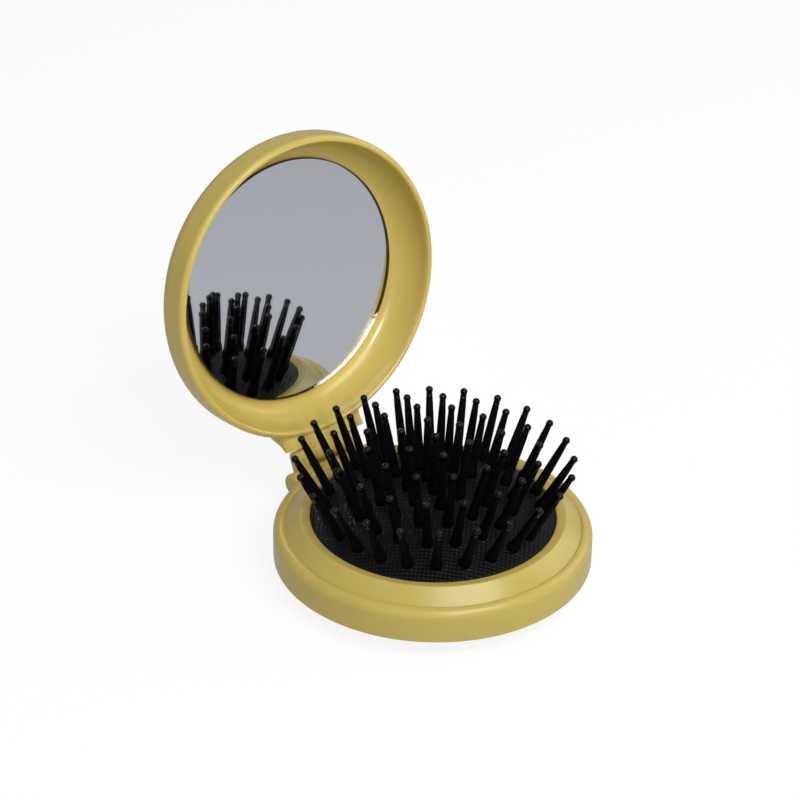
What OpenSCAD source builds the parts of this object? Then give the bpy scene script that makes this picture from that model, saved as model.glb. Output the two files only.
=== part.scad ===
// Folding pocket hairbrush with a mirror in its lid, drawn open. The origin is on the underside,
// at the centre of the foot. +Z is up and the hinge is at the back, at +Y. Sizes are in millimetres.

/* [Base case] */
// Outer radius of both halves of the case
case_r = 32.5; // [31:0.5:40]
// Thickness of the base's side wall
wall_t = 1.7; // [1.4:0.1:1.9]
// Height of the base's side wall, from its lower edge to the top of its rim
base_wall_h = 7.1; // [6.8:0.1:9]
// Radius of the opening that the pad fills
opening_r = 25; // [24:0.1:25.3]
// Share of the bezel's width that the rounded rim takes
rim_share = 0.255; // [0.22:0.005:0.28]
// Share of the bezel's width that the crease inside the rim takes
crease_share = 0.055; // [0.04:0.005:0.08]
// Share of the bezel's width that the lip between the ridge and the pad takes
lip_share = 0.265; // [0.22:0.005:0.29]
// Depth of the crease below the rim
crease_d = 0.3; // [0.2:0.05:0.6]
// Height of the bezel's ridge above the rim
ridge_rise = 2.35; // [2:0.05:2.8]
// Height by which the lip falls from the ridge to the pad
lip_fall = 0.2; // [0:0.05:0.3]
// Thickness of the bezel
bezel_t = 1.7; // [1.4:0.1:1.9]

/* [Underside] */
// Depth of the dished underside below the side wall
foot_depth = 4; // [3.9:0.1:7]
// Radius of the flat foot that the brush stands on
foot_r = 25.4; // [22:0.1:26]
// Thickness of the underside
floor_t = 1.2; // [1:0.05:1.25]
// Height of the spigot that pushes into the side wall
spigot_h = 1.6; // [1.2:0.1:2]
// Thickness of the spigot and of the wall that holds the pad's ring up
spigot_t = 1.3; // [1:0.1:1.5]
// Gap between pieces that are pushed together
push_fit = 0.08; // [0.05:0.01:0.12]

/* [Pad and pins] */
// Height of the pad's crown above its edge
pad_crown = 4.9; // [4:0.1:5.5]
// Thickness of the rubber
pad_t = 1.2; // [1:0.05:1.3]
// Thickness of the pad's flange and of the ring that clamps it
flange_t = 1; // [0.9:0.05:1.1]
// Length of a pin above the pad, with its ball
pin_len = 14.2; // [12:0.1:14.3]
// Radius of a pin where it leaves the pad
pin_root_r = 0.92; // [0.75:0.01:1]
// Radius of a pin at three quarters of its height
pin_waist_r = 0.76; // [0.66:0.02:0.8]
// Radius of a pin just under its ball
pin_neck_r = 0.6; // [0.5:0.05:0.65]
// Radius of the ball on a pin's end
ball_r = 0.78; // [0.7:0.02:0.84]
// Radius of the collar round a pin's root
collar_r = 1.2; // [1.1:0.05:1.3]
// Height of the collar's top above the rubber
collar_h = 1.9; // [1.5:0.1:2.2]
// Radius of the foot that holds a pin under the rubber
pin_foot_r = 1.4; // [1.2:0.1:1.6]
// Thickness of a pin's foot
pin_foot_t = 0.5; // [0.4:0.05:0.6]
// Distance between two rings of pins, at the rubber
ring_pitch = 5.36; // [5:0.02:5.4]
// Angle by which each ring of pins leans out more than the ring inside it
ring_lean = 7.2; // [6.6:0.1:7.4]

/* [Hinge] */
// Distance of the hinge axis behind the case
hinge_out = 3.8; // [3.7:0.1:4.6]
// Radius of the hinge's knuckles
knuckle_r = 1.9; // [1.7:0.05:1.95]
// Radius of the steel hinge pin
hinge_pin_r = 0.75; // [0.6:0.05:0.9]
// Radial gap of the lid's bore round the hinge pin
hinge_fit = 0.05; // [0.02:0.01:0.08]
// Half width of the lid's knuckle, between the base's two lugs
knuckle_hw = 5.4; // [4.8:0.1:5.6]
// Width of each of the base's lugs
lug_w = 2.4; // [1.9:0.1:2.5]
// Radius of a lug's round end
lug_r = 1.65; // [1.5:0.05:1.75]
// Half width of the lid's neck, above the lugs
neck_hw = 10.1; // [9.4:0.1:10.6]
// Half length of the round bar that carries the lugs
bar_hw = 10.8; // [10.2:0.1:11.4]
// Radius of the round bar
bar_r = 2.45; // [2.3:0.05:2.6]
// Height of the round bar's axis above the side wall's lower edge
bar_up = 3.1; // [2.8:0.1:3.2]
// Gap between the lid's knuckle and each lug
side_gap = 0.25; // [0.2:0.05:0.35]
// Gap at the stop that the open lid rests on
stop_gap = 0.15; // [0.1:0.05:0.25]
// Angle of the open lid from the closed one
open_angle = 97; // [92:1:100]

/* [Lid] */
// Total thickness of the lid
lid_h = 9.1; // [9:0.1:11]
// Gap between the closed lid's rim and the base's rim
lid_gap = 0.2; // [0.2:0.05:0.4]
// Radius that rounds the outside of the lid's rim
lid_rim_round = 1.1; // [0.9:0.1:1.2]
// Width of the lid's rim
lid_rim_w = 1.5; // [1.4:0.1:1.8]
// Radius that rounds the lid's back edge
lid_back_round = 4; // [3:0.1:4.4]
// Thickness of the lid's back
lid_back_t = 0.9; // [0.8:0.05:1]
// Distance of the neck's face behind the plane of the lid's rim
neck_set = 0.7; // [0.5:0.1:1]

/* [Mirror] */
// Radius of the glass
mirror_r = 26.2; // [25:0.1:26.8]
// Thickness of the glass
mirror_t = 0.9; // [0.8:0.05:1.1]
// Gap between the edge of the glass and the lid
mirror_gap = 0.35; // [0.2:0.05:0.4]
// Radius of the adhesive pad behind the glass
tape_r = 21; // [18:0.5:24]
// Thickness of the adhesive pad
tape_t = 0.15; // [0.1:0.05:0.2]

/* [Hidden] */
$fn = 128;
STEPS = 16;
eps = 0.01;

// Heights in the base
rim_z = foot_depth + base_wall_h;
ridge_z = rim_z + ridge_rise;
bar_z = foot_depth + bar_up;
wall_in_r = case_r - wall_t;

// Bezel, from the rounded rim over the crease, the climbing band and the ridge to the lip
bezel_w = case_r - opening_r;
base_rim_round = rim_share * bezel_w;
crease_r = case_r - base_rim_round;
band_r = crease_r - crease_share * bezel_w;
band_z = rim_z - crease_d;
ridge_r = opening_r + lip_share * bezel_w;
band_slope = (ridge_z - band_z) / (band_r - ridge_r);
lip_under_z = ridge_z - bezel_t;
edge_break = 0.15;
lip_round = 0.4;
ridge_round = 0.4;

// Underside
foot_edge_r = case_r - 2 * edge_break;
spigot_r = wall_in_r - push_fit;
foot_slope = foot_depth / (foot_edge_r - foot_r);

// Pad: a dome in the opening, with a flange clamped under the lip
pad_fit = 0.1;
pad_r = opening_r - pad_fit;
pad_edge_z = ridge_z - lip_round;
crown_z = pad_edge_z + pad_crown;
dome_r = (pad_r * pad_r + pad_crown * pad_crown) / (2 * pad_crown);
flange_w = lip_share * bezel_w;
flange_z = lip_under_z - push_fit - flange_t;
clamp_z = flange_z - push_fit - flange_t;
clamp_in_r = pad_r - flange_w / 4;

// Pins: one in the middle and four rings, each turned a little against the hinge
RING_COUNTS = [1, 6, 12, 18, 24];
RING_TURNS = [0, 5, 6, 6.5, 7.5];
hole_fit = 0.05;
pin_foot_gap = 0.3;
collar_gap = 0.3;
waist_share = 0.75;

// Hinge
hinge_y = case_r + hinge_out;
hinge_z = rim_z + lid_gap;
bar_y = case_r + bar_r / 2;
bar_end_round = 0.5;
web_share = 1.7;
lug_foot_r = 1.45;
lug_set = 0.9;
lug_out = knuckle_hw + side_gap + lug_w;
pin_cap = 0.7;
pin_recess = 0.4;
toe_t = 1.6;
inset = 0.06;

// Lid, in the lid's own frame: z = 0 is the plane of its rim
lid_floor_z = lid_h - lid_back_t;
mirror_seat_r = mirror_r + mirror_gap;
cove_r = case_r - lid_rim_w;
cove_z = 1;
neck_top_z = lid_h - lid_back_round;
tip_share = 0.61;
tip_end = [0.1, 0.9];

case_colour = [0.76, 0.69, 0.42];
rubber_colour = [0.11, 0.10, 0.12];
nylon_colour = [0.05, 0.05, 0.06];

// Points of an arc, from angle a to angle b
function arc(c, r, a, b, n = STEPS) =
    [for (i = [0:n]) c + r * [cos(a + (b - a) * i / n), sin(a + (b - a) * i / n)]];

// Points of an upright quarter ellipse, from its outer end to its top
function quarter(c, rx, rz, n = STEPS) =
    [for (i = [0:n]) c + [rx * cos(90 * i / n), rz * sin(90 * i / n)]];

// Height of the dome's outer face at a distance from the middle
function dome_z(r, depth = 0) =
    crown_z - dome_r + sqrt(pow(dome_r - depth, 2) - r * r);

// Outline that wraps two circles like a belt, without the arcs
function belt(c1, r1, c2, r2) =
    let (d = c2 - c1, phi = atan2(d[1], d[0]), b = acos((r1 - r2) / norm(d)))
    [
        c1 + r1 * [cos(phi + b), sin(phi + b)], c2 + r2 * [cos(phi + b), sin(phi + b)],
        c2 + r2 * [cos(phi - b), sin(phi - b)], c1 + r1 * [cos(phi - b), sin(phi - b)]
    ];

// A profile in the Y-Z plane, drawn out along X between two places
module along_x(x0, x1) {
    translate([x0, 0, 0])
        rotate([90, 0, 90])
            linear_extrude(x1 - x0) children();
}

// Turns a piece of the closed lid into the open position
module opened() {
    translate([0, hinge_y, hinge_z])
        rotate([-open_angle, 0, 0])
            translate([0, -hinge_y, 0]) children();
}

module ring_profile() {
    inner_z = band_z - band_slope * (wall_in_r - band_r) - bezel_t;
    polygon(concat(
        [[wall_in_r, foot_depth], [case_r - edge_break, foot_depth], [case_r, foot_depth + edge_break]],
        arc([crease_r, rim_z - base_rim_round], base_rim_round, 0, 90),
        [[band_r, band_z]],
        arc([ridge_r - ridge_round / 4, ridge_z - ridge_round], ridge_round, 45, 90, 4),
        arc([opening_r + lip_round, ridge_z - lip_fall - lip_round], lip_round, 90, 180, 6),
        [[opening_r, lip_under_z], [ridge_r + edge_break, lip_under_z], [wall_in_r, inner_z]]
    ));
}

// Round bar behind the base: its two ends show on both sides of the neck
module hinge_bar() {
    translate([0, bar_y, bar_z])
        rotate([0, 90, 0])
            rotate_extrude() polygon(concat(
                [[0, -bar_hw]],
                arc([bar_r - bar_end_round, -bar_hw + bar_end_round], bar_end_round, -90, 0, 6),
                arc([bar_r - bar_end_round, bar_hw - bar_end_round], bar_end_round, 0, 90, 6),
                [[0, bar_hw]]
            ));
}

// Joins the bar to the side wall
module bar_web() {
    web_h = web_share * bar_r;
    web_hw = bar_hw - bar_end_round;
    translate([-web_hw, bar_y - hinge_out, bar_z - web_h / 2])
        cube([2 * web_hw, hinge_out, web_h]);
}

// The two lugs, which climb from the bar to the hinge axis on both sides of the lid's knuckle
module lugs() {
    for (side = [-1, 1])
        along_x(side < 0 ? -lug_out : lug_out - lug_w, side < 0 ? lug_w - lug_out : lug_out) {
            translate([hinge_y, hinge_z]) circle(lug_r);
            polygon(belt([bar_y + lug_set, bar_z], lug_foot_r, [hinge_y, hinge_z], lug_r - inset));
        }
}

// Bore for the hinge pin, which stops under the skin of the left lug
module hinge_bore(fit) {
    translate([pin_cap - lug_out, hinge_y, hinge_z])
        rotate([0, 90, 0]) cylinder(h = 2 * lug_out, r = hinge_pin_r + fit);
}

module base_shell() {
    color(case_colour) {
        rotate_extrude() ring_profile();
        difference() {
            union() {
                hinge_bar();
                bar_web();
                lugs();
            }
            cylinder(h = rim_z, r = case_r - wall_t / 2);
            hinge_bore(hinge_fit / 2);
        }
    }
}

// Height inside the sloping part of the underside, at a distance from the middle
function dish_z(r) = floor_t + foot_slope * (r - foot_r);

module base_cover() {
    in_r = spigot_r - spigot_t;
    post_r = [pad_r + spigot_t / 2, pad_r + 3 * spigot_t / 2];
    color(case_colour) {
        rotate_extrude() polygon([
            [0, 0], [foot_r, 0], [foot_edge_r, foot_depth], [spigot_r, foot_depth],
            [spigot_r, foot_depth + spigot_h], [in_r, foot_depth + spigot_h],
            [in_r, dish_z(in_r)], [foot_r, floor_t], [0, floor_t]
        ]);
        rotate_extrude() polygon([
            [post_r[0], dish_z(post_r[0]) - floor_t / 2], [post_r[0], clamp_z],
            [post_r[1], clamp_z], [post_r[1], dish_z(post_r[1]) - floor_t / 2]
        ]);
    }
}

module pad_clamp_ring() {
    color("dimgray")
        rotate_extrude() polygon([
            [clamp_in_r, clamp_z], [pad_r + flange_w, clamp_z],
            [pad_r + flange_w, clamp_z + flange_t], [clamp_in_r, clamp_z + flange_t]
        ]);
}

module pad_profile() {
    sweep = asin(pad_r / dome_r);
    in_r = pad_r - pad_t;
    centre = [0, crown_z - dome_r];
    polygon(concat(
        arc(centre, dome_r, 90, 90 - sweep, 2 * STEPS),
        [[pad_r, flange_z + flange_t], [pad_r + flange_w, flange_z + flange_t]],
        [[pad_r + flange_w, flange_z], [in_r, flange_z]],
        arc(centre, dome_r - pad_t, 90 - asin(in_r / (dome_r - pad_t)), 90, 2 * STEPS)
    ));
}

// Puts what follows at each pin of a ring, with +Z along the pin and the origin on the rubber
module at_pins(ring) {
    r = ring * ring_pitch;
    for (i = [0:RING_COUNTS[ring] - 1])
        rotate([0, 0, RING_TURNS[ring] + 360 * i / RING_COUNTS[ring]])
            translate([r, 0, dome_z(r)])
                rotate([0, ring * ring_lean, 0]) children();
}

module pin_hole() {
    translate([0, 0, -2 * pad_t])
        cylinder(h = 4 * pad_t, r = pin_root_r + hole_fit, $fn = 24);
}

module cushion_pad() {
    color(rubber_colour)
        difference() {
            rotate_extrude() pad_profile();
            for (ring = [0:4]) at_pins(ring) pin_hole();
        }
}

// Pin: a foot under the rubber, a shank through it, a collar, a tapered shaft and a ball
module pin() {
    shank = pad_t + pin_foot_gap;
    ball_z = pin_len - ball_r;
    waist_z = waist_share * ball_z;
    $fn = 24;
    translate([0, 0, -shank - pin_foot_t]) cylinder(h = pin_foot_t, r = pin_foot_r);
    translate([0, 0, -shank - eps]) cylinder(h = shank + 2 * eps, r = pin_root_r);
    translate([0, 0, collar_gap]) cylinder(h = collar_h - collar_gap, r = collar_r);
    cylinder(h = waist_z, r1 = pin_root_r, r2 = pin_waist_r);
    translate([0, 0, waist_z - eps]) cylinder(h = ball_z - waist_z + eps, r1 = pin_waist_r, r2 = pin_neck_r);
    translate([0, 0, ball_z]) sphere(ball_r);
}

module pin_group(ring) {
    color(nylon_colour) at_pins(ring) pin();
}

module hinge_pin() {
    left = lug_out - pin_cap - edge_break;
    translate([-left, hinge_y, hinge_z])
        rotate([0, 90, 0])
            color("silver") cylinder(h = left + lug_out - pin_recess, r = hinge_pin_r);
}

module lid_profile() {
    polygon(concat(
        quarter([mirror_seat_r, cove_z], cove_r - mirror_seat_r, lid_floor_z - cove_z),
        [[0, lid_floor_z], [0, lid_h]],
        arc([case_r - lid_back_round, lid_h - lid_back_round], lid_back_round, 90, 0),
        arc([case_r - lid_rim_round, lid_rim_round], lid_rim_round, 0, -90, 8),
        [[cove_r + edge_break, cove_z / 4]]
    ));
}

// Neck of the lid: a wedge behind the rim, and in its middle the knuckle on the hinge axis
module neck() {
    axis = [hinge_y, 0];
    root_y = case_r - 2 * lid_rim_w;
    knee = [case_r - lid_rim_w / 2, neck_set];
    web_knee = knee + [0, inset];
    back = [case_r - edge_break, neck_top_z];
    web_back = back - [0, inset];
    tip = knee + tip_share * (belt(knee, 0, axis, knuckle_r)[2] - knee);
    difference() {
        union() {
            along_x(-neck_hw, neck_hw) polygon([
                [root_y, neck_set], knee, tip, tip + tip_end,
                [(tip[0] + back[0]) / 2, neck_top_z / 3], back, [root_y, neck_top_z]
            ]);
            along_x(-knuckle_hw, knuckle_hw) polygon([
                [root_y, neck_set + inset], web_knee, belt(web_knee, 0, axis, knuckle_r - inset)[2], axis,
                belt(web_back, 0, axis, knuckle_r - inset)[1], web_back, [root_y, neck_top_z - inset]
            ]);
            translate([-knuckle_hw, hinge_y, 0])
                rotate([0, 90, 0]) cylinder(h = 2 * knuckle_hw, r = knuckle_r);
        }
        translate([0, 0, -1]) cylinder(h = lid_h, r = case_r - lid_rim_w / 2);
    }
}

// Toe under the hinge axis, which meets the back of the bar when the lid is open
module stop_toe() {
    toe_y = bar_y + bar_r + stop_gap;
    along_x(edge_break - knuckle_hw, knuckle_hw - edge_break)
        polygon([
            [toe_y, hinge_z], [hinge_y + knuckle_r - inset, hinge_z],
            [toe_y + toe_t, bar_z + edge_break], [toe_y, bar_z - edge_break]
        ]);
}

module lid_shell() {
    color(case_colour)
        difference() {
            union() {
                opened() {
                    rotate_extrude() lid_profile();
                    neck();
                }
                stop_toe();
            }
            hinge_bore(hinge_fit);
        }
}

module mirror_tape() {
    color("gray")
        opened() translate([0, 0, lid_floor_z - tape_t]) cylinder(h = tape_t, r = tape_r);
}

module mirror() {
    back_z = lid_floor_z - tape_t;
    bevel = 0.25;
    color([0.66, 0.68, 0.70])
        opened() rotate_extrude() polygon([
            [0, back_z - mirror_t], [mirror_r - bevel, back_z - mirror_t],
            [mirror_r, back_z - mirror_t + bevel], [mirror_r, back_z], [0, back_z]
        ]);
}

base_shell();
base_cover();
pad_clamp_ring();
cushion_pad();
pin_group(0);  // pin_centre
pin_group(1);  // pins_ring_1
pin_group(2);  // pins_ring_2
pin_group(3);  // pins_ring_3
pin_group(4);  // pins_ring_4
hinge_pin();
lid_shell();
mirror_tape();
mirror();
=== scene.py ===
"""Folding pocket hairbrush with a mirror in its lid: a domed rubber pad of ball-tipped pins in a round
moulded case. The rigid pieces of the case come from the frame. The pad, the pins and the mirror are
built here, in the same place and at the same size."""

import math
import random

import bmesh
import bpy
from mathutils import Matrix, Vector


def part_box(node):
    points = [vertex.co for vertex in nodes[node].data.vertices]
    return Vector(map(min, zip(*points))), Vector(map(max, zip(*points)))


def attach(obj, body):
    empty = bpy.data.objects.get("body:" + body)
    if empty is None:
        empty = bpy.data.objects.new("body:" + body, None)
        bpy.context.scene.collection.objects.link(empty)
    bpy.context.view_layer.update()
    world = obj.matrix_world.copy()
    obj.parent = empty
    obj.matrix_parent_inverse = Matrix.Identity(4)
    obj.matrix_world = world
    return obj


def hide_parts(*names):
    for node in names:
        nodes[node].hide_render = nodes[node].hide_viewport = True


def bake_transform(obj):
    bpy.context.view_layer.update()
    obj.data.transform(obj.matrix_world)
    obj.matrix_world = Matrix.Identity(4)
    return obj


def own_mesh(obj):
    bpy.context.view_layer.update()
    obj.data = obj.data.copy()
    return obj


bl_info = {
    "name": "Folding Pocket Hairbrush",
    "version": (1, 0, 0),
    "blender": (4, 5, 0),
    "location": "3D View > Sidebar > Hairbrush",
    "description": "Dresses a folding pocket hairbrush with its rubber pad, pins, mirror and studio",
    "category": "Object",
}

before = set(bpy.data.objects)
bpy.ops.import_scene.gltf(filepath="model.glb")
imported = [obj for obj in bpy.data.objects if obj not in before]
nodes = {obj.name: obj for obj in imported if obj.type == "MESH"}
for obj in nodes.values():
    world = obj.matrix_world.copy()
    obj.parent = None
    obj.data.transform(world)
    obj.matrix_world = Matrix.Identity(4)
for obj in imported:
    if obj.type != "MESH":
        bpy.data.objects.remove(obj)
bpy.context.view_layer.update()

MM = 0.001
TURN = 2 * math.pi

# Sizes that the case fixes, in the row frame
WALL_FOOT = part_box("base_shell")[0].z
SHELL_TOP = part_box("base_shell")[1].z
CASE_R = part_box("base_shell")[1].x
OPENING_R = 25 * MM
PAD_EDGE_Z = SHELL_TOP - 0.4 * MM

# Raised eyelet round each pin: its height, and its radius
EYELET_H = 0.35 * MM
EYELET_R = 1.5 * MM

# Hinge axis and the angle of the open lid
HINGE = Vector((0, *((low + high) / 2 for low, high in list(zip(*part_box("hinge_pin")))[1:])))
OPEN_ANGLE = math.radians(97)


# ---------------------------------------------------------------- settings


class CaseSettings(bpy.types.PropertyGroup):
    """Colour and finish of the moulded case"""

    shade: bpy.props.StringProperty(
        name="Plastic colour", description="sRGB hex colour of the moulded plastic", default="CEB95F"
    )
    roughness: bpy.props.FloatProperty(
        name="Roughness", description="Roughness of the polished moulding", default=0.24, min=0, max=1
    )


class PadSettings(bpy.types.PropertyGroup):
    """Sizes and finish of the domed rubber pad"""

    crown: bpy.props.FloatProperty(
        name="Crown", description="Height of the dome above its edge", default=4.9 * MM, unit="LENGTH"
    )
    skin: bpy.props.FloatProperty(
        name="Skin", description="Thickness of the dome's rubber", default=0.3 * MM, unit="LENGTH"
    )
    thread: bpy.props.FloatProperty(
        name="Emboss pitch",
        description="Distance between two rows of the embossed weave",
        default=0.84 * MM,
        unit="LENGTH",
    )
    shade: bpy.props.StringProperty(
        name="Rubber colour", description="sRGB hex colour of the rubber", default="0D0B0F"
    )


class PinSettings(bpy.types.PropertyGroup):
    """Sizes of the moulded pins and how they stand on the pad"""

    length: bpy.props.FloatProperty(
        name="Length",
        description="Length above the rubber, ball included",
        default=14.2 * MM,
        unit="LENGTH",
    )
    ball: bpy.props.FloatProperty(
        name="Ball radius", description="Radius of the ball on the end", default=0.78 * MM, unit="LENGTH"
    )
    pitch: bpy.props.FloatProperty(
        name="Ring pitch",
        description="Distance between two rings of pins",
        default=5.36 * MM,
        unit="LENGTH",
    )
    lean: bpy.props.FloatProperty(
        name="Lean",
        description="Extra outward lean of each ring",
        default=math.radians(7.2),
        unit="ROTATION",
    )
    stray: bpy.props.FloatProperty(
        name="Stray", description="How far single pins lean off", default=math.radians(1.0), unit="ROTATION"
    )
    shade: bpy.props.StringProperty(
        name="Nylon colour", description="sRGB hex colour of the nylon", default="070608"
    )


class MirrorSettings(bpy.types.PropertyGroup):
    """Sizes of the mirror glass"""

    radius: bpy.props.FloatProperty(
        name="Radius", description="Radius of the glass", default=26.2 * MM, unit="LENGTH"
    )
    thickness: bpy.props.FloatProperty(
        name="Thickness", description="Thickness of the glass", default=0.9 * MM, unit="LENGTH"
    )
    back: bpy.props.FloatProperty(
        name="Back",
        description="Height of the silvering above the lid's rim",
        default=8.05 * MM,
        unit="LENGTH",
    )
    chipped: bpy.props.FloatProperty(
        name="Chipped side",
        description="Bearing of the rim's bare side",
        default=math.radians(57),
        unit="ROTATION",
    )


class StudioSettings(bpy.types.PropertyGroup):
    """Camera, light and background"""

    azimuth: bpy.props.FloatProperty(
        name="Camera azimuth",
        description="Bearing of the camera",
        default=math.radians(-39.06),
        unit="ROTATION",
    )
    elevation: bpy.props.FloatProperty(
        name="Camera elevation",
        description="Height of the camera",
        default=math.radians(30.13),
        unit="ROTATION",
    )
    roll: bpy.props.FloatProperty(
        name="Camera roll", description="Roll of the camera", default=math.radians(0.892), unit="ROTATION"
    )
    key_power: bpy.props.FloatProperty(
        name="Key power", description="Power of the large soft box", default=1.86, unit="POWER"
    )
    fill: bpy.props.FloatProperty(
        name="Fill", description="Strength of the light from the room", default=0.36, min=0
    )


SETTINGS = {
    "brush_case": CaseSettings,
    "brush_pad": PadSettings,
    "brush_pins": PinSettings,
    "brush_mirror": MirrorSettings,
    "brush_studio": StudioSettings,
}


# ---------------------------------------------------------------- materials


def linear(shade):
    """A colour for a socket, from its sRGB hex value."""
    parts = [int(shade[i : i + 2], 16) / 255 for i in (0, 2, 4)]
    return [c / 12.92 if c <= 0.04045 else ((c + 0.055) / 1.055) ** 2.4 for c in parts] + [1]


def add(tree, kind, settings=None, links=None):
    """Adds a node to a tree. Settings are its own fields or inputs, and links are inputs from sockets."""
    made = tree.nodes.new(kind)
    for key, value in (settings or {}).items():
        if isinstance(key, str) and hasattr(made, key):
            setattr(made, key, value)
        else:
            made.inputs[key].default_value = value
    for key, socket in (links or {}).items():
        tree.links.new(socket, made.inputs[key])
    return made


def new_material(name):
    """An empty material with its output, and its node tree."""
    made = bpy.data.materials.new(name)
    made.use_nodes = True
    made.node_tree.nodes.clear()
    return made, made.node_tree


def finish_material(made, tree, shader):
    add(tree, "ShaderNodeOutputMaterial", links={"Surface": shader})
    return made


def moulded_abs(shade, roughness):
    """ABS, injection moulded in a polished tool: a soft gloss with broad highlights, faint flow clouds in
    the colour, and shade that turns warm, because a little light goes into the plastic."""
    made, tree = new_material("abs_moulded_polished")
    place = add(tree, "ShaderNodeTexCoord").outputs["Object"]
    cloud = add(tree, "ShaderNodeTexNoise", {"Scale": 1 / (9 * MM), "Detail": 3.0}, {"Vector": place})
    tint = add(
        tree,
        "ShaderNodeMix",
        {"data_type": "RGBA", "clamp_factor": True},
        {"Factor": cloud.outputs["Fac"]},
    )
    tint.inputs["A"].default_value = [c * 0.955 for c in linear(shade)[:3]] + [1]
    tint.inputs["B"].default_value = [min(1, c * 1.045) for c in linear(shade)[:3]] + [1]
    skin = add(tree, "ShaderNodeTexNoise", {"Scale": 1 / (0.35 * MM), "Detail": 2.0}, {"Vector": place})
    rough = add(
        tree,
        "ShaderNodeMapRange",
        {"To Min": roughness - 0.05, "To Max": roughness + 0.06},
        {"Value": skin.outputs["Fac"]},
    )
    bump = add(
        tree, "ShaderNodeBump", {"Strength": 0.06, "Distance": 0.05 * MM}, {"Height": skin.outputs["Fac"]}
    )
    shader = add(
        tree,
        "ShaderNodeBsdfPrincipled",
        {
            "IOR": 1.53,
            "Subsurface Weight": 0.6,
            "Subsurface Radius": (1.0, 0.5, 0.12),
            "Subsurface Scale": 2.5 * MM,
        },
        {
            "Base Color": tint.outputs["Result"],
            "Roughness": rough.outputs["Result"],
            "Normal": bump.outputs["Normal"],
        },
    )
    return finish_material(made, tree, shader.outputs["BSDF"])


def embossed_rubber(shade, pitch):
    """Rubber, pressed against woven cloth: small raised diamonds that each catch a dull glint, with a painted
    highlight on their tops and painted shade between them.
    """
    made, tree = new_material("rubber_pressed_weave")
    place = add(tree, "ShaderNodeTexCoord").outputs["Object"]
    turned = add(
        tree, "ShaderNodeMapping", {"Rotation": (0, 0, math.radians(45))}, {"Vector": place}
    ).outputs["Vector"]
    # A wave texture of scale s repeats after 2 pi / (20 s)
    scale = TURN / (20 * pitch)
    rows = [
        add(
            tree,
            "ShaderNodeTexWave",
            {"wave_type": "BANDS", "bands_direction": axis, "wave_profile": "SIN", "Scale": scale},
            {"Vector": turned},
        ).outputs["Fac"]
        for axis in ("X", "Y")
    ]
    crossed = add(tree, "ShaderNodeMath", {"operation": "MULTIPLY"}, {0: rows[0], 1: rows[1]})
    weave = crossed.outputs["Value"]
    dust = add(tree, "ShaderNodeTexNoise", {"Scale": 1 / (2.2 * MM), "Detail": 4.0}, {"Vector": place})
    rough = add(
        tree, "ShaderNodeMapRange", {"To Min": 0.36, "To Max": 0.55}, {"Value": dust.outputs["Fac"]}
    )
    bump = add(tree, "ShaderNodeBump", {"Strength": 1.0, "Distance": 0.17 * MM}, {"Height": weave})
    # Painted highlight and shade: the colour is lighter on the raised diamonds and darker in the hollows
    # between them
    tint = add(tree, "ShaderNodeMix", {"data_type": "RGBA"}, {"Factor": weave})
    tint.inputs["A"].default_value = [c * 0.45 for c in linear(shade)[:3]] + [1]
    tint.inputs["B"].default_value = [c * 1.5 for c in linear(shade)[:3]] + [1]
    shader = add(
        tree,
        "ShaderNodeBsdfPrincipled",
        {"IOR": 1.52, "Specular IOR Level": 0.16},
        {
            "Base Color": tint.outputs["Result"],
            "Roughness": rough.outputs["Result"],
            "Normal": bump.outputs["Normal"],
        },
    )
    return finish_material(made, tree, shader.outputs["BSDF"])


def moulded_nylon(name, shade, roughness, sheen):
    """Nylon, moulded in one shot. A shaft drags on the tool as it leaves it, so it is black and nearly
    dull, while a ball keeps its polish and shows a small sharp glint."""
    made, tree = new_material(name)
    place = add(tree, "ShaderNodeTexCoord").outputs["Object"]
    skin = add(tree, "ShaderNodeTexNoise", {"Scale": 1 / (0.6 * MM), "Detail": 3.0}, {"Vector": place})
    rough = add(
        tree,
        "ShaderNodeMapRange",
        {"To Min": roughness - 0.06, "To Max": roughness + 0.08},
        {"Value": skin.outputs["Fac"]},
    )
    bump = add(
        tree, "ShaderNodeBump", {"Strength": 0.15, "Distance": 0.04 * MM}, {"Height": skin.outputs["Fac"]}
    )
    shader = add(
        tree,
        "ShaderNodeBsdfPrincipled",
        {"Base Color": linear(shade), "IOR": 1.53, "Specular IOR Level": sheen},
        {"Roughness": rough.outputs["Result"], "Normal": bump.outputs["Normal"]},
    )
    return finish_material(made, tree, shader.outputs["BSDF"])


def float_glass():
    """Soda-lime glass, floated and polished: clear, with a faint green tint."""
    made, tree = new_material("glass_float_polished")
    shader = add(
        tree,
        "ShaderNodeBsdfPrincipled",
        {"Base Color": linear("FBFCFC"), "Roughness": 0.0, "IOR": 1.52, "Transmission Weight": 1.0},
    )
    return finish_material(made, tree, shader.outputs["BSDF"])


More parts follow.
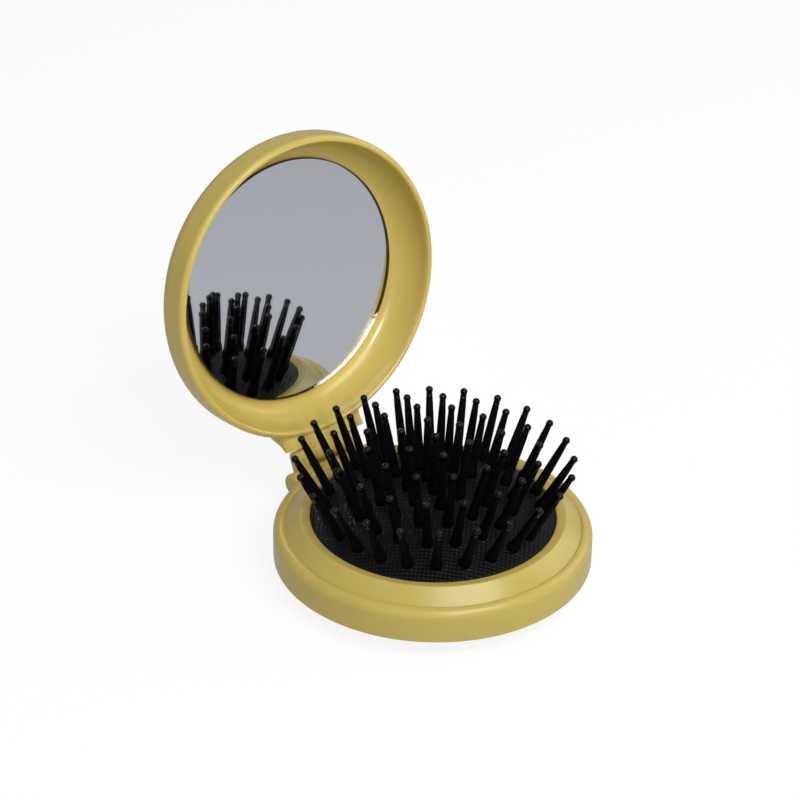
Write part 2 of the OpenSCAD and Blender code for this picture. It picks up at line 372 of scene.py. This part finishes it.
def ground_glass(middle, towards):
    """The rim of the same glass, cut and ground by hand. Most of it is fine-ground and painted over,
    which the eye sees as a dark line. On one side it is chipped and bare, and sparkles white with a painted
    glow."""
    made, tree = new_material("glass_edge_ground")
    place = add(tree, "ShaderNodeTexCoord").outputs["Object"]
    chips = add(
        tree, "ShaderNodeTexVoronoi", {"Scale": 1 / (0.8 * MM), "Randomness": 1.0}, {"Vector": place}
    )
    chip = chips.outputs["Distance"]
    bump = add(tree, "ShaderNodeBump", {"Strength": 0.8, "Distance": 0.2 * MM}, {"Height": chip})
    ray = add(tree, "ShaderNodeVectorMath", {"operation": "SUBTRACT", 1: middle}, {0: place})
    aim = add(tree, "ShaderNodeVectorMath", {"operation": "NORMALIZE"}, {0: ray.outputs["Vector"]})
    turn = add(
        tree,
        "ShaderNodeVectorMath",
        {"operation": "DOT_PRODUCT", 1: towards},
        {0: aim.outputs["Vector"]},
    )
    # The bare side ends raggedly, chip by chip
    ragged = add(
        tree,
        "ShaderNodeMath",
        {"operation": "MULTIPLY_ADD", 1: 0.05},
        {0: chip, 2: turn.outputs["Value"]},
    )
    bare = add(
        tree,
        "ShaderNodeMapRange",
        {"From Min": 0.945, "From Max": 0.96},
        {"Value": ragged.outputs["Value"]},
    )
    # Painted glow: the bare chips emit light of their own, strongest near the middle of each chip
    painted_glow = add(
        tree,
        "ShaderNodeMapRange",
        {"From Min": 0.1, "From Max": 0.6, "To Min": 1.0, "To Max": 0.55},
        {"Value": chip},
    )
    painted = add(
        tree,
        "ShaderNodeBsdfPrincipled",
        {"Base Color": linear("2B2A22"), "Roughness": 0.4, "IOR": 1.52},
    )
    # The bare chips: white ground glass, plus the painted glow as emission, though they are no lamp
    chipped = add(
        tree,
        "ShaderNodeBsdfPrincipled",
        {
            "Base Color": linear("FFFFFF"),
            "Roughness": 0.18,
            "IOR": 1.52,
            "Emission Color": linear("F6F8FB"),
        },
        {"Normal": bump.outputs["Normal"], "Emission Strength": painted_glow.outputs["Result"]},
    )
    both = add(
        tree,
        "ShaderNodeMixShader",
        links={0: bare.outputs["Result"], 1: painted.outputs["BSDF"], 2: chipped.outputs["BSDF"]},
    )
    return finish_material(made, tree, both.outputs["Shader"])


def silvering():
    """Silver, deposited on the back of the glass: a bright and perfectly smooth reflection."""
    made, tree = new_material("silver_deposited")
    shader = add(
        tree,
        "ShaderNodeBsdfPrincipled",
        {"Base Color": linear("EDEEF0"), "Metallic": 1.0, "Roughness": 0.01},
    )
    return finish_material(made, tree, shader.outputs["BSDF"])


def ground_steel():
    """Steel wire, centreless ground: fine rings round the pin and a tight highlight."""
    made, tree = new_material("steel_ground_wire")
    place = add(tree, "ShaderNodeTexCoord").outputs["Object"]
    rings = add(
        tree,
        "ShaderNodeTexWave",
        {"wave_type": "BANDS", "bands_direction": "X", "Scale": TURN / (20 * 0.15 * MM), "Distortion": 1.5},
        {"Vector": place},
    )
    bump = add(
        tree, "ShaderNodeBump", {"Strength": 0.1, "Distance": 0.02 * MM}, {"Height": rings.outputs["Fac"]}
    )
    shader = add(
        tree,
        "ShaderNodeBsdfPrincipled",
        {"Base Color": linear("C6C7C9"), "Metallic": 1.0, "Roughness": 0.28},
        {"Normal": bump.outputs["Normal"]},
    )
    return finish_material(made, tree, shader.outputs["BSDF"])


def foam_tape():
    """Polyethylene foam tape, extruded: dull and slightly pitted."""
    made, tree = new_material("foam_tape_extruded")
    place = add(tree, "ShaderNodeTexCoord").outputs["Object"]
    cells = add(tree, "ShaderNodeTexNoise", {"Scale": 1 / (0.5 * MM), "Detail": 2.0}, {"Vector": place})
    bump = add(
        tree, "ShaderNodeBump", {"Strength": 0.4, "Distance": 0.1 * MM}, {"Height": cells.outputs["Fac"]}
    )
    shader = add(
        tree,
        "ShaderNodeBsdfPrincipled",
        {"Base Color": linear("D8D8D4"), "Roughness": 0.85},
        {"Normal": bump.outputs["Normal"]},
    )
    return finish_material(made, tree, shader.outputs["BSDF"])


def backdrop(shade, seen_white, near_grey, far_grey):
    """Paper, matt coated. The camera sees it white with the brush's shadow on it. Glass and metal show
    it as the plain grey that stands round the brush, and that gets darker further off."""
    made, tree = new_material("paper_matt_coated")
    rays = add(tree, "ShaderNodeLightPath")
    paper = add(tree, "ShaderNodeBsdfDiffuse", {"Color": linear(shade)})
    white = add(tree, "ShaderNodeEmission", {"Color": linear("FFFFFF"), "Strength": 1.15})
    place = add(tree, "ShaderNodeTexCoord").outputs["Object"]
    away = add(tree, "ShaderNodeVectorMath", {"operation": "LENGTH"}, {0: place})
    far = add(
        tree,
        "ShaderNodeMapRange",
        {"From Min": 0.1, "From Max": 0.45},
        {"Value": away.outputs["Value"]},
    )
    tone = add(tree, "ShaderNodeMix", {"data_type": "RGBA"}, {"Factor": far.outputs["Result"]})
    tone.inputs["A"].default_value = linear(near_grey)
    tone.inputs["B"].default_value = linear(far_grey)
    grey = add(tree, "ShaderNodeEmission", {"Strength": 1.0}, {"Color": tone.outputs["Result"]})
    mirrored = add(
        tree,
        "ShaderNodeMath",
        {"operation": "MAXIMUM"},
        {0: rays.outputs["Is Glossy Ray"], 1: rays.outputs["Is Transmission Ray"]},
    )
    shares = [
        add(tree, "ShaderNodeMath", {"operation": "MULTIPLY", 1: share}, {0: socket}).outputs["Value"]
        for share, socket in ((0.9, mirrored.outputs["Value"]), (seen_white, rays.outputs["Is Camera Ray"]))
    ]
    dim = add(
        tree,
        "ShaderNodeMixShader",
        links={0: shares[0], 1: paper.outputs["BSDF"], 2: grey.outputs["Emission"]},
    )
    both = add(
        tree,
        "ShaderNodeMixShader",
        links={0: shares[1], 1: dim.outputs["Shader"], 2: white.outputs["Emission"]},
    )
    return finish_material(made, tree, both.outputs["Shader"])


# ---------------------------------------------------------------- shapes


def link_mesh(name, mesh, skin=None):
    """A shown object for a mesh, with its material."""
    made = bpy.data.objects.new(name, mesh)
    bpy.context.scene.collection.objects.link(made)
    if skin:
        mesh.materials.append(skin)
    return made


def mesh_from(name, form, sharp=math.radians(35)):
    """A smooth-shaded mesh from a bmesh, with its steep edges kept sharp."""
    bmesh.ops.recalc_face_normals(form, faces=form.faces)
    for face in form.faces:
        face.smooth = True
    for edge in form.edges:
        if len(edge.link_faces) == 2:
            edge.smooth = edge.calc_face_angle() < sharp
    mesh = bpy.data.meshes.new(name)
    form.to_mesh(mesh)
    form.free()
    return mesh


def revolve(form, profile, steps, place=None):
    """Turns a profile of (radius, height) points round Z into a bmesh, and moves it to its place.
    A radius of zero becomes a pole."""
    place = place or Matrix.Identity(4)
    rings = []
    for r, z in profile:
        count = 1 if r <= 0 else steps
        rings.append(
            [
                form.verts.new(
                    place @ Vector((r * math.cos(TURN * i / steps), r * math.sin(TURN * i / steps), z))
                )
                for i in range(count)
            ]
        )
    faces = []
    for low, high in zip(rings, rings[1:]):
        for i in range(steps):
            j = (i + 1) % steps
            corners = [low[i % len(low)], low[j % len(low)], high[j % len(high)], high[i % len(high)]]
            faces.append(form.faces.new(list(dict.fromkeys(corners))))
    return faces


def arc(centre, radius, start, end, steps):
    """Points of an arc in a profile, with its angles in degrees."""
    return [
        (
            centre[0] + radius * math.cos(math.radians(start + (end - start) * i / steps)),
            centre[1] + radius * math.sin(math.radians(start + (end - start) * i / steps)),
        )
        for i in range(steps + 1)
    ]


def dome_radius():
    """Radius of the sphere that the pad's outer face belongs to."""
    crown = bpy.context.scene.brush_pad.crown
    edge = OPENING_R - 0.1 * MM
    return (edge * edge + crown * crown) / (2 * crown)


def dome_height(r):
    """Height of the pad's outer face at a distance from the middle."""
    ball = dome_radius()
    return PAD_EDGE_Z + bpy.context.scene.brush_pad.crown - ball + math.sqrt(ball * ball - r * r)


def opened():
    """Where a piece of the closed lid goes when the lid is open."""
    turn = Matrix.Rotation(-OPEN_ANGLE, 4, "X")
    return Matrix.Translation(HINGE) @ turn @ Matrix.Translation(Vector((0, -HINGE.y, 0)))


# Rings of pins: node, body, number of pins and the turn of the first one in degrees
RINGS = (
    ("pin_centre", "centre_pins", 1, 0),
    ("pins_ring_1", "centre_pins", 6, 5),
    ("pins_ring_2", "second_ring", 12, 6),
    ("pins_ring_3", "third_ring", 18, 6.5),
    ("pins_ring_4", "base", 24, 7.5),
)


def pin_places(ring):
    """Places of a ring's pins: each has its root on the rubber and +Z along the pin."""
    sizes = bpy.context.scene.brush_pins
    _, _, count, first = RINGS[ring]
    stray = random.Random(40 + ring)
    r = ring * sizes.pitch
    places = []
    for i in range(count):
        bearing = math.radians(first) + TURN * i / count
        lean = ring * sizes.lean + stray.uniform(-1, 1) * sizes.stray
        side = stray.uniform(-1, 1) * sizes.stray
        places.append(
            Matrix.Rotation(bearing, 4, "Z")
            @ Matrix.Translation(Vector((r, 0, dome_height(r))))
            @ Matrix.Rotation(lean, 4, "Y")
            @ Matrix.Rotation(side, 4, "X")
        )
    return places


# ---------------------------------------------------------------- pieces


class BRUSH_OT_case(bpy.types.Operator):
    """Gives the case, the lid and the underside their moulded plastic"""

    bl_idname = "brush.case"
    bl_label = "Case and lid"

    def execute(self, context):
        look = context.scene.brush_case
        plastic = moulded_abs(look.shade, look.roughness)
        for name in ("base_shell", "base_cover", "lid_shell"):
            nodes[name].data.materials.clear()
            nodes[name].data.materials.append(plastic)
        return {"FINISHED"}


class BRUSH_OT_hardware(bpy.types.Operator):
    """Gives the hinge pin, the clamp ring and the tape their materials"""

    bl_idname = "brush.hardware"
    bl_label = "Hinge pin, clamp ring and tape"

    def execute(self, context):
        looks = {
            "hinge_pin": ground_steel(),
            "pad_clamp_ring": moulded_nylon("nylon_moulded_grey", "2A2A2C", 0.4, 0.5),
            "mirror_tape": foam_tape(),
        }
        for name, skin in looks.items():
            nodes[name].data.materials.clear()
            nodes[name].data.materials.append(skin)
        return {"FINISHED"}


class BRUSH_OT_pad(bpy.types.Operator):
    """Builds the domed rubber pad, with a raised eyelet round each pin"""

    bl_idname = "brush.pad"
    bl_label = "Rubber pad"

    def execute(self, context):
        look = context.scene.brush_pad
        edge = OPENING_R - 0.1 * MM
        reach = edge - 1.2 * MM
        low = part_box("cushion_pad")[0].z
        outer = [(edge * t, dome_height(edge * t)) for t in [i / 90 for i in range(90)]]
        shoulder = arc((edge - 0.5 * MM, PAD_EDGE_Z - 0.35 * MM), 0.5 * MM, 60, 0, 5)
        flange = [
            (edge, low + 1.0 * MM),
            (edge + 2 * MM, low + 1.0 * MM),
            (edge + 2 * MM, low),
            (reach, low),
        ]
        inner = [(reach * t, dome_height(reach * t) - look.skin) for t in (1, 0.9, 0.8, 0.6, 0.4, 0.2, 0)]
        form = bmesh.new()
        revolve(form, outer[:-1] + shoulder + flange + inner, 240)
        roots = [place.translation for ring in range(5) for place in pin_places(ring)]
        for vert in form.verts:
            if vert.co.z < dome_height(min(vert.co.xy.length, edge)) - 0.2 * MM:
                continue
            near = min((vert.co.xy - root.xy).length for root in roots)
            vert.co.z += EYELET_H * math.exp(-((near / EYELET_R) ** 4))
        rubber = embossed_rubber(look.shade, look.thread)
        pad = link_mesh("rubber_pad", mesh_from("rubber_pad", form), rubber)
        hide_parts("cushion_pad")
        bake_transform(pad)
        return {"FINISHED"}


class BRUSH_OT_pins(bpy.types.Operator):
    """Builds the five rings of ball-tipped pins, each pin with its root, tapered shaft and ball"""

    bl_idname = "brush.pins"
    bl_label = "Pins"

    def execute(self, context):
        look = context.scene.brush_pins
        shaft = moulded_nylon("nylon_moulded_dull", look.shade, 0.58, 0.04)
        ball = moulded_nylon("nylon_moulded_polished", look.shade, 0.12, 0.2)
        ball_z = look.length - look.ball
        neck = 0.64 * MM
        join = math.degrees(math.asin(neck / look.ball))
        # Foot, shank, collar and shaft, as radius and height above the rubber in millimetres
        turned = [(0, -2), (1.4, -2), (1.4, -1.5), (0.92, -1.5), (0.92, -0.2), (1.2, 0.1), (1.2, 1.7)]
        turned += [(1.1, 2), (0.96, 2.3), (0.91, 5), (0.83, 8), (0.75, 10.5), (0.67, 12)]
        profile = [(r * MM, z * MM) for r, z in turned]
        below = len(profile) - 1
        profile += arc((0, ball_z), look.ball, -90 + join, 90, 12)[:-1] + [(0, look.length)]
        steps = 20
        for ring, (node, body, _, _) in enumerate(RINGS):
            form = bmesh.new()
            for place in pin_places(ring):
                for face in revolve(form, profile, steps, place)[below * steps :]:
                    face.material_index = 1
            name = node.replace("pin", "nylon_pin", 1)
            pins = link_mesh(name, mesh_from(name, form, math.radians(50)), shaft)
            pins.data.materials.append(ball)
            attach(pins, body)
            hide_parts(node)
            if body == "base":
                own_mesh(pins)
        return {"FINISHED"}


class BRUSH_OT_mirror(bpy.types.Operator):
    """Builds the mirror: clear glass with a ground rim, and the silvering behind it"""

    bl_idname = "brush.mirror"
    bl_label = "Mirror"

    def execute(self, context):
        look = context.scene.brush_mirror
        front, back = look.back - look.thickness, look.back
        bevel = 0.22 * MM
        form = bmesh.new()
        # The glass ends just before the silvering, so that the two don't share a face
        rear = back - 0.02 * MM
        inner = look.radius - bevel
        profile = [(0, front), (look.radius * 0.9, front), (inner, front)]
        profile += [(look.radius, front + bevel), (look.radius, back - bevel), (inner, rear)]
        profile += [(look.radius * 0.9, rear), (0, rear)]
        steps = 192
        revolve(form, profile, steps, opened())
        ground = range(2 * steps, 5 * steps)
        mesh = mesh_from("mirror_glass", form, math.radians(20))
        glass = link_mesh("mirror_glass", mesh, float_glass())
        middle = opened() @ Vector((0, 0, front))
        bearing = Vector((math.cos(look.chipped), math.sin(look.chipped), 0))
        towards = (opened().to_3x3() @ bearing).normalized()
        mesh.materials.append(ground_glass(middle, towards))
        for index in ground:
            mesh.polygons[index].material_index = 1
        form = bmesh.new()
        face = back - 0.01 * MM
        revolve(form, [(0, face), (inner, face), (inner, back), (0, back)], steps, opened())
        silver = link_mesh("mirror_silvering", mesh_from("mirror_silvering", form), silvering())
        for piece in (glass, silver):
            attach(piece, "lid")
            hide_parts("mirror")
        return {"FINISHED"}


class BRUSH_OT_camera(bpy.types.Operator):
    """Places the camera at the photograph's angle and distance"""

    bl_idname = "brush.camera"
    bl_label = "Camera"

    def execute(self, context):
        look = context.scene.brush_studio
        # The fitted camera: its distance in case radii, then the target's place in the picture and the
        # size of a case radius there, in pixels of the 800-pixel picture
        unit = CASE_R
        distance, across, down, scale = 17.36, 32.75, 131.07, 159.55
        a, e = look.azimuth, look.elevation
        back = Vector((math.sin(a) * math.cos(e), -math.cos(a) * math.cos(e), math.sin(e)))
        right = Vector((math.cos(a), math.sin(a), 0))
        up = back.cross(right)
        right, up = (
            right * math.cos(look.roll) + up * math.sin(look.roll),
            up * math.cos(look.roll) - right * math.sin(look.roll),
        )
        camera = bpy.data.objects.new("camera", bpy.data.cameras.new("camera"))
        context.scene.collection.objects.link(camera)
        target = Vector((0, 0, 0.15 * unit + WALL_FOOT))
        place = target + unit * (distance * back - across / scale * right + down / scale * up)
        turn = Matrix((right, up, back)).transposed().to_4x4()
        camera.matrix_world = Matrix.Translation(place) @ turn
        camera.data.sensor_width = 36
        camera.data.lens = scale * distance * 36 / 800
        camera.data.clip_start, camera.data.clip_end = 0.01, 20
        context.scene.camera = camera
        return {"FINISHED"}


class BRUSH_OT_studio(bpy.types.Operator):
    """Lays the pale floor and hangs the soft lights"""

    bl_idname = "brush.studio"
    bl_label = "Floor and lights"

    def hang(self, context, lamp, target, direction, distance):
        """Hangs a lamp in a direction from a target, and turns it to the target."""
        made = bpy.data.objects.new(lamp.name, lamp)
        context.scene.collection.objects.link(made)
        aim = Vector(direction).normalized()
        made.location = Vector(target) + aim * distance
        made.rotation_mode = "QUATERNION"
        made.rotation_quaternion = aim.to_track_quat("Z", "Y")

    def soft_box(self, context, name, direction, distance, size, power):
        lamp = bpy.data.lights.new(name, "AREA")
        lamp.shape, lamp.size, lamp.size_y, lamp.energy = "RECTANGLE", size[0], size[1], power
        self.hang(context, lamp, (0, 10 * MM, 20 * MM), direction, distance)

    def execute(self, context):
        look = context.scene.brush_studio
        form = bmesh.new()
        bmesh.ops.create_grid(form, x_segments=8, y_segments=8, size=3)
        paper = backdrop("D9DADC", 0.75, "B8B9BF", "A0A6AD")
        floor = link_mesh("floor", mesh_from("floor", form), paper)
        self.soft_box(context, "key_box", (-0.05, -0.58, 0.76), 0.6, (0.42, 0.3), look.key_power)
        side_power = front_power = look.key_power * 0.5
        self.soft_box(context, "side_box", (0.85, -0.15, 0.5), 0.8, (0.5, 0.5), side_power)
        self.soft_box(context, "front_box", (-0.4, -0.85, 0.45), 0.8, (0.7, 0.3), front_power)
        # A narrow lamp for the lid's hollow, which the soft boxes reach least
        lamp = bpy.data.lights.new("lid_snoot", "SPOT")
        lamp.energy, lamp.shadow_soft_size = look.key_power * 3.9, 0.03
        lamp.spot_size, lamp.spot_blend = math.radians(8), 1.0
        self.hang(context, lamp, (8 * MM, 42 * MM, 34 * MM), (-0.35, -0.8, 0.5), 0.8)
        world = bpy.data.worlds.new("room")
        context.scene.world = world
        world.use_nodes = True
        tree = world.node_tree
        tree.nodes.clear()
        rays = add(tree, "ShaderNodeLightPath")
        room = add(tree, "ShaderNodeBackground", {"Color": linear("F4F6F8"), "Strength": look.fill})
        seen = add(tree, "ShaderNodeBackground", {"Color": linear("FFFFFF"), "Strength": 1.0})
        grey = add(tree, "ShaderNodeBackground", {"Color": linear("A0A6AD"), "Strength": 1.0})
        mirrored = add(
            tree,
            "ShaderNodeMath",
            {"operation": "MAXIMUM"},
            {0: rays.outputs["Is Glossy Ray"], 1: rays.outputs["Is Transmission Ray"]},
        )
        dim = add(
            tree,
            "ShaderNodeMixShader",
            links={
                0: mirrored.outputs["Value"],
                1: room.outputs["Background"],
                2: grey.outputs["Background"],
            },
        )
        both = add(
            tree,
            "ShaderNodeMixShader",
            links={0: rays.outputs["Is Camera Ray"], 1: dim.outputs["Shader"], 2: seen.outputs["Background"]},
        )
        add(tree, "ShaderNodeOutputWorld", links={"Surface": both.outputs["Shader"]})
        context.scene.view_settings.view_transform = "Standard"
        return {"FINISHED"}


class BRUSH_PT_panel(bpy.types.Panel):
    """Lists the pieces of the brush and their settings"""

    bl_idname = "BRUSH_PT_panel"
    bl_label = "Hairbrush"
    bl_space_type = "VIEW_3D"
    bl_region_type = "UI"
    bl_category = "Hairbrush"

    def draw(self, context):
        for operator in OPERATORS:
            self.layout.operator(operator.bl_idname)
        for name, group in SETTINGS.items():
            box = self.layout.box()
            for prop in group.__annotations__:
                box.prop(getattr(context.scene, name), prop)


OPERATORS = (
    BRUSH_OT_camera,
    BRUSH_OT_case,
    BRUSH_OT_hardware,
    BRUSH_OT_pad,
    BRUSH_OT_pins,
    BRUSH_OT_mirror,
    BRUSH_OT_studio,
)
CLASSES = (*SETTINGS.values(), *OPERATORS, BRUSH_PT_panel)


def register():
    for cls in CLASSES:
        bpy.utils.register_class(cls)
    for name, group in SETTINGS.items():
        setattr(bpy.types.Scene, name, bpy.props.PointerProperty(type=group))


def unregister():
    for name in SETTINGS:
        delattr(bpy.types.Scene, name)
    for cls in reversed(CLASSES):
        bpy.utils.unregister_class(cls)


def main():
    """Registers the classes and makes each piece in turn."""
    register()
    for operator in OPERATORS:
        group, name = operator.bl_idname.split(".")
        getattr(getattr(bpy.ops, group), name)()


if __name__ == "__main__":
    main()
